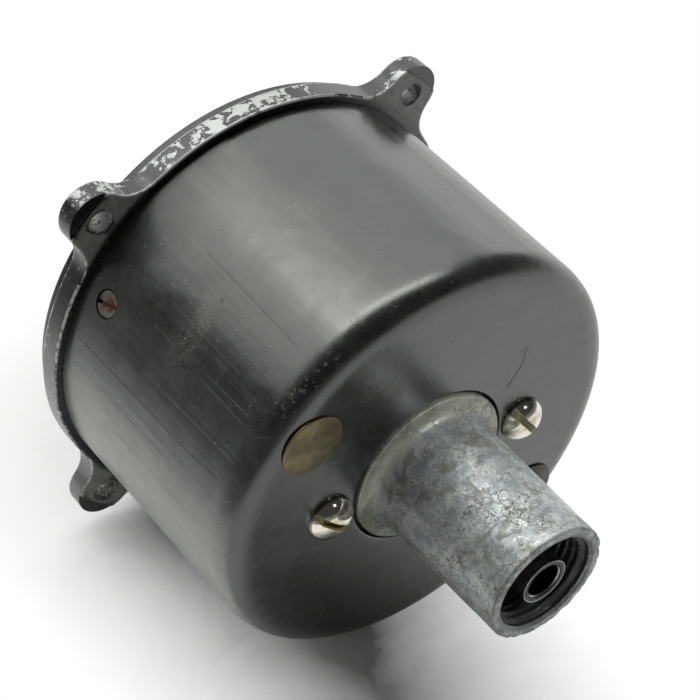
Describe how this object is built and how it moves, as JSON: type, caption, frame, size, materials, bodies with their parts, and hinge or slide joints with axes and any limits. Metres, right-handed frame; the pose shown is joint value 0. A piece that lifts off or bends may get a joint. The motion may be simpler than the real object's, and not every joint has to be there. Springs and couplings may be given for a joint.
{
  "type": "tachometer",
  "caption": "Round panel tachometer: eared mounting ring, drum case, dial and pointer behind glass, magnetic drag movement and a threaded rear neck for a flexible drive shaft.",
  "frame": {"origin": "centre of the four panel holes, on the front face of the ears", "axes": "+Y from the dial towards the drive neck, along the drive's axis; +Z towards the top of the dial; +X completes a right-handed frame, so +X is at the right of someone who reads the dial"},
  "size_m": [0.082, 0.0854, 0.082],
  "materials": {
    "ring_paint": "semi-gloss black enamel over aluminium, chipped along its edges",
    "case_paint": "satin black stoving paint, scuffed, with tan wear",
    "cast_alloy": "die cast, oxidised to a mottled blue-grey",
    "nickel": "nickel plated steel, polished, lightly worn",
    "steel": "turned steel",
    "bronze": "aged bronze",
    "old_brass": "brass tarnished olive-brown",
    "brass": "turned brass, clean",
    "spring_bronze": "phosphor bronze ribbon",
    "cup_alloy": "spun aluminium, satin",
    "soft_iron": "annealed soft iron, dull",
    "magnet_alloy": "cast magnet alloy, ground faces",
    "jewel": "synthetic ruby, polished",
    "dial_black": "matt black dial paint",
    "pointer_paint": "cream luminous paint, matt",
    "glass": "flat polished glass",
    "rubber": "black rubber, matt",
    "felt": "oiled wool felt"
  },
  "bodies": {
    "housing": {"mounting_ring": "ring_paint", "glass_gasket": "rubber", "dial_glass": "glass", "spacer_ring": "dial_black", "dial_plate": "dial_black", "dial_screws": "dial_black", "stop_pins": "steel", "case": "case_paint", "side_screws": "bronze", "drive_housing": "cast_alloy", "neck_gasket": "rubber", "rear_screws": "nickel", "access_plugs": "old_brass", "front_bush": "bronze", "rear_bush": "bronze", "oil_felt": "felt", "frame_pillars": "brass", "front_bridge": "brass", "bridge_screws": "steel", "front_jewel": "jewel", "hairspring_stud": "brass", "flux_ring": "soft_iron"},
    "drive": {"drive_shaft": "steel", "thrust_washer": "bronze", "retaining_clip": "steel", "magnet_hub": "brass", "magnet": "magnet_alloy", "pivot_jewel": "jewel"},
    "pointer_movement": {"spindle": "steel", "drag_cup": "cup_alloy", "cup_hub": "brass", "spring_collet": "brass", "hairspring": "spring_bronze", "pointer_hub": "brass", "pointer": "pointer_paint", "pointer_cap": "dial_black"}
  },
  "joints": [
    {"name": "drive_spin", "type": "hinge", "parent": "housing", "child": "drive", "pos_m": [0, 0, 0], "axis": [0, 1, 0], "continuous": true},
    {"name": "pointer_sweep", "type": "hinge", "parent": "housing", "child": "pointer_movement", "pos_m": [0, 0, 0], "axis": [0, 1, 0], "range_deg": [0, 270], "stiffness_Nm_per_rad": 0.00004, "springref_deg": -28.65, "deforming": ["hairspring"]}
  ]
}
